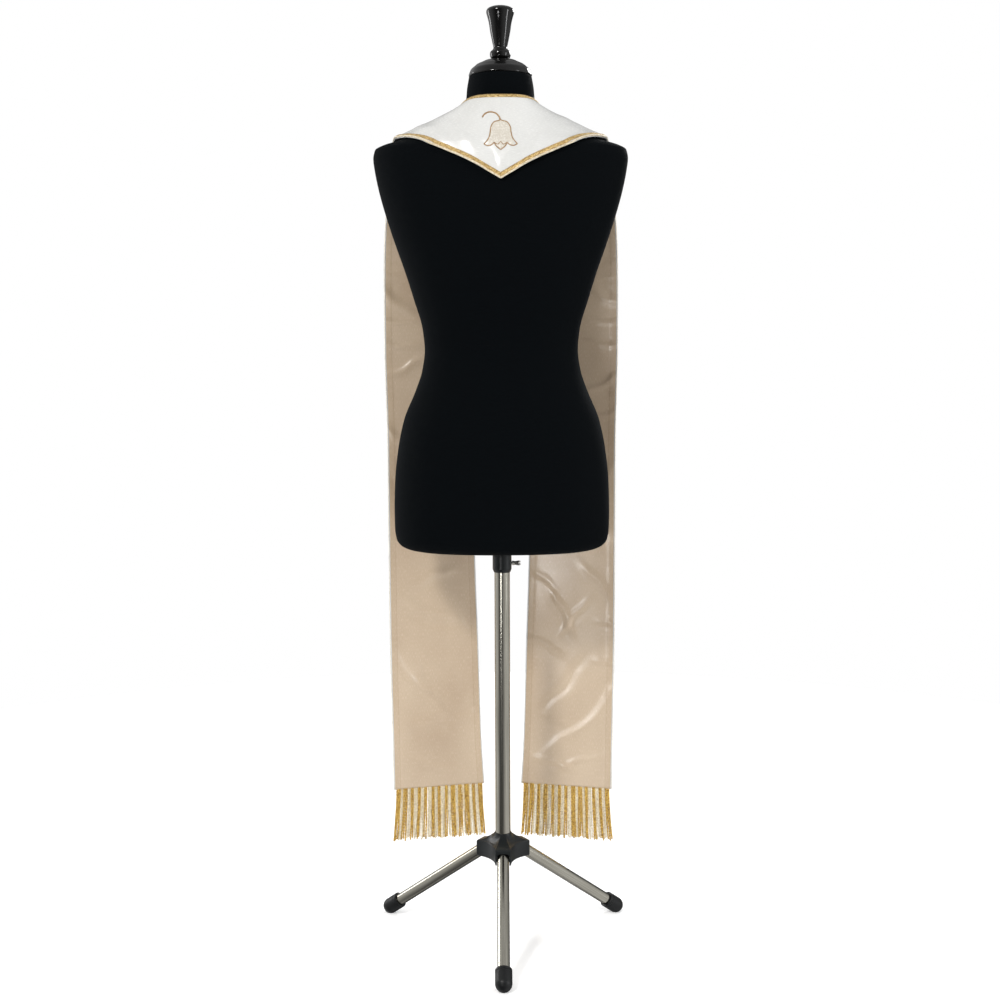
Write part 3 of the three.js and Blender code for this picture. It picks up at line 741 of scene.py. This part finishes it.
# ---- braid and cord
def strip_path(alongs, offset, from_outer, lift, sign, relief):
    """Points, outward normals and across directions along a line parallel to an edge."""
    width = stole_width(np.abs(alongs))
    distance = width - offset if from_outer else np.full_like(width, offset)
    across = distance / width
    base, normal = stole_frame(across, np.abs(alongs))
    mirror = np.where(alongs < 0, -1, 1) * sign
    base[:, 0] *= mirror
    normal[:, 0] *= mirror
    points = base + normal * (lift + relief(across, base))[:, None]
    return points, normal, unit(np.cross(directions(points), normal))


def sweep(name, path, section, material, slot, node):
    """A closed tube along a path: section(distances) gives each row's corners as (side, up)."""
    points, normal, side = path
    steps = running_length(points)
    shape = section(steps)
    rows, corners = shape.shape[:2]
    ring = points[:, None] + side[:, None] * shape[..., :1] + normal[:, None] * shape[..., 1:]
    vertices = place(ring.reshape(-1, 3))
    faces = tube_faces(rows, corners)
    u = np.broadcast_to(np.linspace(0, 1, corners) * 0.01, (rows, corners)).ravel()
    v = np.repeat(steps * MM, corners)
    return finish_piece(make_object(name, vertices, faces, material, np.stack([u, v], 1)),
                        "form", slot, node)


def tube_faces(rows, corners):
    """Faces of a tube of rings with flat ends."""
    faces = []
    for i in range(rows - 1):
        for k in range(corners):
            a, b = i * corners + k, i * corners + (k + 1) % corners
            faces.append((a, b, b + corners, a + corners))
    faces.append(tuple(range(corners))[::-1])
    faces.append(tuple((rows - 1) * corners + k for k in range(corners)))
    return faces


def braid_section(width, thick, loop):
    """A flat woven braid: plaited humps across it and small loops along both edges."""
    share = np.linspace(-1, 1, 9)[None, :]
    lean = share * 2.4

    def section(s):
        phase = 2 * math.pi * s[:, None] / loop
        edge = 1 + 0.11 * np.sin(phase)
        x = share * width / 2 * edge
        plait = np.abs(np.sin(phase / 2 + lean)) + np.abs(np.sin(phase / 2 - lean))
        crown = (1 - share ** 4) * 0.5 + 0.5
        top = thick * (0.4 + 0.3 * plait) * crown
        low_x = share[:, [8, 4, 0]] * width / 2 * np.ones_like(phase)
        low = np.zeros_like(low_x)
        return np.concatenate([np.stack([x, top], 2), np.stack([low_x, low], 2)], axis=1)
    return section


def cord_section(radius, twist, strands=3, corners=12):
    """A round cord of twisted strands."""
    turn = circle(corners)[None, :]

    def section(s):
        angle = turn - 2 * math.pi * s[:, None] / (twist * strands)
        r = radius * (0.84 + 0.18 * np.abs(np.cos(strands * angle / 2)))
        return np.stack([r * np.cos(turn), radius + r * np.sin(turn)], 2)
    return section


def make_trims(gold, cream):
    trims = []
    fine_half = rows_between(0, seam_run - SEAM_GAP, 0.55)
    fine_yoke = np.concatenate([-fine_half[:0:-1], fine_half])
    fine_panel = rows_between(seam_run + SEAM_GAP, run[-1], 0.75)
    kinds = (  # on the panels, on the yoke, mm from the edge, lift, outer edge, section, look
        ("inner_braid", "neckline_braid", 2.9, 3.1, False, braid_section(5, 1.4, 3.4),
         (gold, "gold_braid")),
        ("outer_braid", "yoke_outer_braid", 5.4, 3.1, True, braid_section(6, 1.5, 3.8),
         (gold, "gold_braid")),
        ("edge_cord", "yoke_edge_cord", 1.0, 1.0, True, cord_section(1.65, 2.4),
         (cream, "cream_cord")),
    )
    for name, node, offset, lift, outer, section, look in kinds:
        path = strip_path(fine_yoke, offset, outer, lift, 1, on_yoke)
        trims.append(sweep(f"{node}_woven", path, section, *look, node))
        for side, sign in SIDES:
            path = strip_path(fine_panel, offset, outer, lift, sign, on_panel(sign))
            trims.append(sweep(f"{name}_woven_{side}", path, section, *look, f"{name}_{side}"))
    return trims


# ---- fringe
FRINGE_LENGTH = 92


def rope(points, radius, twist, phase):
    """A two-ply twisted cord along points, with a rounded end: vertices, faces and UVs."""
    corners = 7
    tangent = directions(points)
    side = unit(np.cross(tangent, np.array([0, 1.0, 0])))
    up = np.cross(side, tangent)
    steps = running_length(points)
    turn = circle(corners)[None, :]
    spin = turn - 2 * math.pi * steps[:, None] / twist + phase
    taper = np.sqrt(np.clip(1 - ((steps - steps[-1] + radius) / radius).clip(0, 0.96) ** 2, 0, 1))
    r = radius * (0.72 + 0.34 * np.abs(np.cos(spin))) * taper[:, None]
    ring = (points[:, None] + side[:, None] * (r * np.cos(turn))[..., None]
            + up[:, None] * (r * np.sin(turn))[..., None])
    uv = np.stack(np.broadcast_arrays(turn / (2 * math.pi) * 0.008, steps[:, None] * MM), 2)
    return ring.reshape(-1, 3), tube_faces(len(points), corners), uv.reshape(-1, 2)


def make_fringe(side, sign, gold, cream):
    """Bundles of gold cords with cream ones between, hanging out of the hem's seam."""
    chance = random.Random(11 if sign > 0 else 23)
    width = float(stole_width(HEM)[0])
    bundles = 13
    pitch = (width - 4) / bundles
    groups = {"gold": [], "cream": []}

    def hang(distance, kind, radius, depth, lean):
        across = distance / width
        base, normal = stole_frame(np.array([across]), np.array([float(HEM)]))
        start = base[0] + normal[0] * (1.1 + depth)
        start[2] += 1.0
        length = FRINGE_LENGTH + chance.uniform(-3.5, 2.5)
        flare = (across - 0.5) * 12 + lean + chance.uniform(-0.5, 0.5)
        swing = chance.uniform(-0.6, 0.6)
        wobble, phase = chance.uniform(0.1, 0.35), chance.uniform(0, 6.28)
        points = []
        for t in np.linspace(0, 1, 62):
            x = flare * t ** 1.6 + wobble * math.sin(phase + 9 * t) * t
            y = swing * t + 0.35 * math.sin(phase * 2 + 7 * t)
            points.append(start + np.array([x, y, -length * t]))
        points = np.array(points)
        points[:, 0] *= sign
        groups[kind].append(rope(points, radius, 4.4 + chance.uniform(-0.4, 0.4), phase))

    for k in range(bundles):
        centre = 2 + (k + 0.5) * pitch + chance.uniform(-0.8, 0.8)
        wide = 3 if k in (0, bundles - 1) or chance.random() < 0.4 else 2
        lean = chance.uniform(-1.2, 1.2)
        for m in range(wide):
            hang(centre + (m - (wide - 1) / 2) * 2.6, "gold", 1.5 + chance.uniform(-0.12, 0.12),
                 chance.uniform(-0.9, 0.2), lean)
        if k < bundles - 1:
            for m in range(3):
                hang(centre + pitch / 2 + (m - 1) * 2.3 + chance.uniform(-0.3, 0.3), "cream",
                     1.3 + chance.uniform(-0.1, 0.1), chance.uniform(0.2, 1.2), lean * 0.5)
    pieces = []
    for kind, material, slot in (("gold", gold, "fringe"), ("cream", cream, "cream_cord")):
        points, faces, uvs = joined(groups[kind])
        obj = make_object(f"fringe_{kind}_{side}", place(points), faces, material, uvs)
        pieces.append(finish_piece(obj, "form", slot, f"fringe_{side}"))
    return pieces


# ---- embroidery
# A bellflower of the maker's own drawing: x to the wearer's left and z up from the yoke's centre.
BELL_CENTRE = (0, 1300)
BELL_SIDE = [(2.5, 18.5), (10, 16.2), (14.6, 9), (16, 0), (17.6, -8), (21, -14), (25.5, -18.8)]
BELL_LIP = [(25.5, -18.8), (20, -21.6), (14, -20.4), (9.6, -16.6)]
BELL_PETAL = [(9.6, -16.6), (7.2, -21.8), (0, -28)]
BELL_THROAT = [(9.6, -16.6), (4.6, -19.6), (0, -15.4)]
BELL_STEM = [(0.3, 19), (2.4, 25), (8, 30.4), (17, 32.2), (24.6, 28.8), (28, 23.6)]


def spline(points, count):
    """A smooth open curve through points (centripetal steps, cubic between)."""
    p = np.asarray(points, float)
    steps = np.concatenate([[0], np.cumsum(np.sqrt(np.linalg.norm(np.diff(p, axis=0), axis=1)))])
    t = np.linspace(0, steps[-1], count)
    i = np.clip(np.searchsorted(steps, t, side="right") - 1, 0, len(p) - 2)
    h = (steps[i + 1] - steps[i])[:, None]
    return hermite(p, np.gradient(p, steps, axis=0), i, h, ((t - steps[i]) / h[:, 0])[:, None])


def make_embroidery(yoke, thread, fill):
    tree = BVHTree.FromPolygons([v.co for v in yoke.data.vertices],
                                [tuple(p.vertices) for p in yoke.data.polygons])

    def stitched(x, z, height):
        """A point this far above the yoke, found from behind it."""
        origin = Vector(place([BELL_CENTRE[0] + x, 400, BELL_CENTRE[1] + z]))
        spot, normal, _, _ = tree.ray_cast(origin, Vector((0, -1, 0)))
        return np.array(spot) + np.array(normal) * height * MM

    def ribbon(points, width, thick):
        """A row of satin stitches: a low rounded band, each stitch a small rib across it."""
        line = spline(points, 12 * len(points) + 40)
        vertices = []
        corners = 6
        for i, ((x, z), (dx, dz)) in enumerate(zip(line, directions(line))):
            rib = 1 + (0.16 if i % 2 else -0.16)
            for k in range(corners):
                turn = math.pi * k / (corners - 1)
                offset = -math.cos(turn) * width / 2
                height = 0.05 + thick * math.sin(turn) * rib
                vertices.append(stitched(x - dz * offset, z + dx * offset, height))
        return vertices, grid_faces(len(line), corners), ()

    def mirror(points):
        return [(-x, z) for x, z in points]
    strokes = [(BELL_STEM, 2.5), ([(3, 18.3), (0, 19.6), (-3, 18.3)], 1.9)]
    for points in (BELL_SIDE, BELL_LIP, BELL_PETAL):
        strokes += [(points, 1.9), (mirror(points), 1.9)]
    strokes += [(BELL_THROAT, 1.3), (mirror(BELL_THROAT), 1.3)]
    vertices, faces, _ = joined(ribbon(points, width, 0.55) for points, width in strokes)
    outline = make_object("bellflower_outline", vertices, faces, thread)
    finish_piece(outline, "form", "embroidery")

    # The pale filling: upright stitches between the bell's two sides, one rib each.
    side = spline(BELL_SIDE, 60)
    lip = np.concatenate([spline(BELL_LIP, 30), spline(BELL_PETAL, 30)])
    lip = lip[np.argsort(-lip[:, 0])]
    vertices = []
    spacing, rows, reach = 0.5, 24, 20
    columns = int(2 * reach / spacing)
    for i in range(columns + 1):
        x = -reach + i * spacing
        top = float(np.interp(abs(x), side[:, 0], side[:, 1]))
        low = float(np.interp(abs(x), lip[::-1, 0], lip[::-1, 1]))
        vein = max(0.0, math.cos(x * 1.1)) ** 6
        height = 0.08 + (0.14 if i % 2 else 0) + 0.12 * vein
        vertices += [stitched(x, top + (low - top) * j / rows, height) for j in range(rows + 1)]
    filling = make_object("bellflower_filling", vertices, grid_faces(columns + 1, rows + 1), fill)
    finish_piece(filling, "form", "embroidery")
    return outline, filling


# ---- the form
def make_torso(material):
    # From z, to z and rows: closer together where the outline turns.
    bands = ((646, 667, 16), (667, 1270, 120), (1270, 1365, 56), (1365, 1397.6, 10))
    heights = np.unique(np.concatenate([np.linspace(*band) for band in bands]))
    around = 192
    turn = circle(around)
    c, s = np.cos(turn), np.sin(turn)
    points, uvs = [], []
    for z in heights:
        n = float(power(z))
        x = half(z) * np.sign(c) * np.abs(c) ** (2 / n)
        y = np.where(s > 0, back(z), front(z)) * np.sign(s) * np.abs(s) ** (2 / n)
        points.append(np.stack([x, y, np.full_like(x, z)], 1))
        uvs.append(np.stack([turn * 0.14, np.full_like(turn, z * MM)], 1))
    points = np.concatenate(points)
    faces = tube_faces(len(heights), around)
    torso = make_object("jersey_torso", place(points), faces, material, np.concatenate(uvs))
    finish_piece(torso, "form", "jersey", "torso")


# ---- turned pieces
def arc(centre, radius, start, end, count):
    """Points of an arc in (r, z), angles in degrees."""
    angles = np.radians(np.linspace(start, end, count))
    return [(centre[0] + radius * math.cos(a), centre[1] + radius * math.sin(a)) for a in angles]


def lathe(name, profile, material, origin=(0, 0, 0), direction=(0, 0, 1), around=72, refine=4):
    """Turns a profile of (radius, height) about a direction, each step of it cut into `refine`."""
    profile = np.asarray(profile, float)
    dense = [profile[0]]
    for a, b in zip(profile[:-1], profile[1:]):
        for k in range(1, refine + 1):
            dense.append(a + (b - a) * k / refine)
    axis = Vector(direction).normalized()
    side = axis.orthogonal().normalized()
    if abs(axis.z) > 0.99:
        side = Vector((1, 0, 0))
    up = axis.cross(side)
    points, uvs = [], []
    for (r, h), length in zip(dense, running_length(dense)):
        r = max(r, 0.02)
        for k in range(around):
            angle = 2 * math.pi * k / around
            spot = Vector(origin) + axis * h + side * (r * math.cos(angle))
            points.append(tuple(spot + up * (r * math.sin(angle))))
            uvs.append((k / around * 0.08, length * MM))
    obj = make_object(name, place(points), tube_faces(len(dense), around), material, uvs)
    outward(obj.data, 32)
    return obj


def smooth_profile(points, count):
    return [tuple(p) for p in spline(points, count)]


def make_neck(lacquer):
    seat = 1398.3
    cap = [(0, seat), (48.9, seat)] + smooth_profile([
        (48.9, seat), (49.9, 1399.6), (48.9, 1403), (46.4, 1408.5), (41.8, 1412.6), (37.4, 1416.2),
        (30, 1419.6), (23.6, 1422.6), (15, 1424.1)], 60) + [(13, 1424.2), (0, 1424.2)]
    cap = lathe("turned_cap", cap, lacquer, around=128, refine=1)
    finish_piece(cap, "form", "lacquer", "neck_cap")
    foot = 1424.5
    knob = [(0, foot), (12.2, foot)] + smooth_profile([
        (12.2, foot), (15.4, 1427.6), (16.4, 1431.8), (15.6, 1436.4), (12.4, 1439.2)], 26)
    knob += smooth_profile([
        (12.2, 1439.6), (10.9, 1442.2), (12, 1448.6), (13.5, 1455.5), (15.9, 1467.8), (18, 1481.6),
        (20.4, 1491), (21.9, 1497), (21.4, 1500.4), (18.9, 1503.2), (13, 1505.6), (6, 1506.7),
        (0, 1507)], 110)
    knob = lathe("turned_finial", knob, lacquer, around=96, refine=1)
    finish_piece(knob, "form", "lacquer", "finial")


# ---- the stand
LEG_ANGLES = (("leg_back", 90), ("leg_right", 210), ("leg_left", 330))
PIVOT_R, PIVOT_Z = 36, 145.3
BALL_R, BALL_Z = 224.4, 11.9
LEG_LENGTH = math.hypot(BALL_R - PIVOT_R, PIVOT_Z - BALL_Z)
LEG_R, FOOT_R, PIN_R = 9.75, 13.3, 2.5


def make_tubes(steel, plastic):
    pole = [(10.9, 136.3), (12.5, 136.3), (12.5, 637.5), (10.9, 637.5), (10.9, 136.3)]
    tube = lathe("steel_pole", pole, steel, around=96, refine=2)
    finish_piece(tube, "stand", "steel", "pole")
    ring = [(12.8, 609.8), (13, 609.8)] + arc((13, 610.2), 0.4, -90, -30, 3)
    ring += [(15.2, 614.4)] + smooth_profile([(15.2, 614.4), (15.4, 615.2), (15.4, 616)], 5)
    ring += [(15.4, 636), (15.1, 636.4), (15.1, 637.4), (15.4, 637.8), (15.3, 645.2), (15, 645.6)]
    ring += [(11.2, 645.6), (11.2, 637.8), (12.8, 637.8), (12.8, 609.8)]
    collar = lathe("clamp_collar", ring, plastic, around=96, refine=1)
    finish_piece(collar, "stand", "plastic", "collar")


def leg_directions(degrees):
    turn = math.radians(degrees)
    out = Vector((math.cos(turn), math.sin(turn), 0))
    down = (BALL_R - PIVOT_R, -(PIVOT_Z - BALL_Z))
    direction = (out * down[0] + Vector((0, 0, down[1]))).normalized()
    pivot = out * PIVOT_R + Vector((0, 0, PIVOT_Z))
    across = Vector((0, 0, 1)).cross(out)
    return pivot, direction, across


def make_legs(steel, rubber):
    for number, (body, degrees) in enumerate(LEG_ANGLES, start=1):
        pivot, direction, across = leg_directions(degrees)
        profile = arc((0, 0), LEG_R, -90, 0, 14) + [(LEG_R, LEG_LENGTH - 7), (0, LEG_LENGTH - 7)]
        tube = lathe(f"steel_leg_{number}", profile, steel, pivot, direction, around=72, refine=2)
        finish_piece(tube, body, "steel", f"leg_{number}")
        start = LEG_LENGTH - 24
        # The foot's open end, its groove and its round tip.
        shape = [(LEG_R + 0.3, start + 17), (LEG_R + 0.3, start + 0.4), (LEG_R + 0.7, start)]
        shape += [(FOOT_R - 1.4, start)] + arc((FOOT_R - 1.1, start + 1.1), 1.1, -75, 0, 5)
        shape += [(FOOT_R, start + 4.6), (FOOT_R - 0.5, start + 5.1), (FOOT_R - 0.5, start + 6.3),
                  (FOOT_R, start + 6.8)]
        shape += arc((0, LEG_LENGTH), FOOT_R, 0, 90, 20)
        cap = lathe(f"rubber_foot_{number}", shape, rubber, pivot, direction, around=64, refine=1)
        for vertex in cap.data.vertices:
            vertex.co.z = max(vertex.co.z, 0.0)
        finish_piece(cap, body, "rubber", f"foot_{number}")
        rivet = [(0, -13.1), (2.9, -13.1), (3.3, -12.8), (3.3, -12.55), (PIN_R, -12.5),
                 (PIN_R, 12.5), (3.3, 12.55), (3.3, 12.8), (2.9, 13.1), (0, 13.1)]
        pin = lathe(f"steel_pin_{number}", rivet, steel, pivot, across, around=32, refine=1)
        finish_piece(pin, "stand", "steel", f"pivot_pin_{number}")


HUB_LOBE, HUB_HALF, HUB_HOLLOW, HUB_CORNER = 44, 13, 15.5, 1.1
HUB_LOW, HUB_DECK, HUB_NECK_R = 134, 160.5, 14.4


def heading(turn):
    """Directions out at a turn and to its left, seen from above."""
    c, s = math.cos(turn), math.sin(turn)
    return np.array([c, s]), np.array([-s, c])


def hub_outline():
    """Three lobes with square ends, joined by hollow sides, as points round the hub."""
    points = []
    for _, degrees in LEG_ANGLES:
        turn = math.radians(degrees)
        out, side = heading(turn)
        for across in np.linspace(-HUB_HALF + HUB_CORNER, HUB_HALF - HUB_CORNER, 8):
            points.append(out * HUB_LOBE + side * across)
        start = out * (HUB_LOBE - HUB_CORNER) + side * HUB_HALF
        hollow = heading(turn + math.pi / 3)[0] * HUB_HOLLOW
        out, side = heading(turn + 2 * math.pi / 3)
        end = out * (HUB_LOBE - HUB_CORNER) - side * HUB_HALF
        for t in np.linspace(0, 1, 34):
            points.append(start * (1 - t) ** 2 + hollow * 2 * t * (1 - t) + end * t * t)
    return np.array(points)


def make_hub(plastic):
    outline = hub_outline()
    count = len(outline)
    round_one = unit(outline)
    rings = []
    for z, inset in ((HUB_LOW, 1.7), (134.3, 0.8), (135, 0.2), (136, 0), (148, 0), (157.4, 0),
                     (158.8, 0.2), (159.6, 0.7), (160.2, 1.5), (HUB_DECK, 2.4)):
        rings.append((outline * (1 - inset / 40), z))
    for share in np.linspace(0.08, 1, 16):  # the slope from the lobes up to the neck
        rings.append((outline * 0.94 * (1 - share) + round_one * HUB_NECK_R * share,
                      HUB_DECK + 15.2 * share ** 1.5))
    for r, z in ((HUB_NECK_R, 176.4), (14.1, 176.9), (13.4, 177), (12.9, 176.6), (12.8, 160),
                 (12.8, 134.2), (13, HUB_LOW)):
        rings.append((round_one * r, z))
    points = [(x, y, z) for ring, z in rings for x, y in ring]
    faces = []
    for i in range(len(rings)):
        for k in range(count):
            a, b = i * count + k, i * count + (k + 1) % count
            faces.append((a, b, (b + count) % len(points), (a + count) % len(points)))
    hub = make_object("moulded_hub", place(points), faces, plastic)
    for _, degrees in LEG_ANGLES:
        cut_slot(hub, degrees)
    outward(hub.data, 35)
    finish_piece(hub, "stand", "plastic", "hub")


def cut_slot(hub, degrees):
    """An arched slot under the lobe's roof, where the leg swings."""
    half_width, start, end, low, high, bend = 10.3, 25.5, 70, 120.0, 153.4, 6
    outline = [(-half_width, low), (half_width, low), (half_width, high - bend)]
    outline += arc((half_width - bend, high - bend), bend, 15, 90, 6)
    outline += [(-x, z) for x, z in outline[:1:-1]]
    over, out = heading(math.radians(degrees - 90))
    points = [(*(over * x + out * reach), z) for reach in (start, end) for x, z in outline]
    count = len(outline)
    faces = [tuple(range(count)), tuple(range(count, 2 * count))[::-1]]
    faces += [(k, (k + 1) % count, (k + 1) % count + count, k + count) for k in range(count)]
    cutter = make_object("slot_cutter", place(points), faces, hub.data.materials[0], smooth=False)
    outward(cutter.data)
    modifier = hub.modifiers.new("slot", "BOOLEAN")
    modifier.object = cutter
    modifier.operation = "DIFFERENCE"
    modifier.solver = "EXACT"
    ready = hub.evaluated_get(bpy.context.evaluated_depsgraph_get())
    mesh = bpy.data.meshes.new_from_object(ready)
    hub.modifiers.clear()
    hub.data = mesh
    bpy.data.objects.remove(cutter)


def set_material(node, material):
    obj = bpy.data.objects[node]
    obj.data.materials.clear()
    obj.data.materials.append(material)


# ---- everything
def main():
    make_camera()
    make_studio()
    white = satin_material("white_satin", srgb(227, 227, 225), srgb(213, 213, 210), 0)
    champagne = satin_material("champagne_lining", srgb(206, 186, 161), srgb(188, 166, 141), 0.012)
    gold_braid = thread_material("gold_braid", srgb(140, 104, 44), srgb(226, 196, 132), 0.3, 0.26, 420)
    gold_cord = thread_material("gold_bullion", srgb(136, 92, 18), srgb(248, 208, 110), 0.35, 0.2, 330)
    cream = thread_material("cream_cord", srgb(196, 178, 142), srgb(246, 236, 212), 0.0, 0.42, 420)
    tan = thread_material("embroidery_thread", srgb(150, 120, 84), srgb(184, 152, 112), 0.0, 0.3, 500)
    beige = thread_material("filling_thread", srgb(206, 199, 186), srgb(232, 228, 220), 0.0, 0.35, 500)
    jersey = jersey_material()
    lacquer = plastic_material("black_lacquer", srgb(7, 7, 7), srgb(15, 14, 14), 0.14, 0.00001, 0.12)
    plastic = plastic_material("black_plastic", srgb(14, 17, 18), srgb(27, 31, 32), 0.34, 0.00004)
    rubber = plastic_material("black_rubber", srgb(8, 10, 11), srgb(20, 22, 24), 0.42, 0.00006)
    steel = steel_material("brushed_steel", srgb(150, 146, 134), srgb(200, 197, 187), 0.2)
    nickel = steel_material("nickel", srgb(188, 185, 178), srgb(228, 226, 220), 0.36)

    make_torso(jersey)
    make_neck(lacquer)
    make_tubes(steel, plastic)
    make_legs(steel, rubber)
    make_hub(plastic)
    set_material("thumb_screw", nickel)
    set_material("inner_tube", steel)

    panels = make_panels(white, champagne)
    yoke, yoke_area = make_yoke(white)
    trims = make_trims(gold_braid, cream)
    fringes = {side: make_fringe(side, sign, gold_cord, cream) for side, sign in SIDES}
    stitches = make_embroidery(yoke, tan, beige)


main()
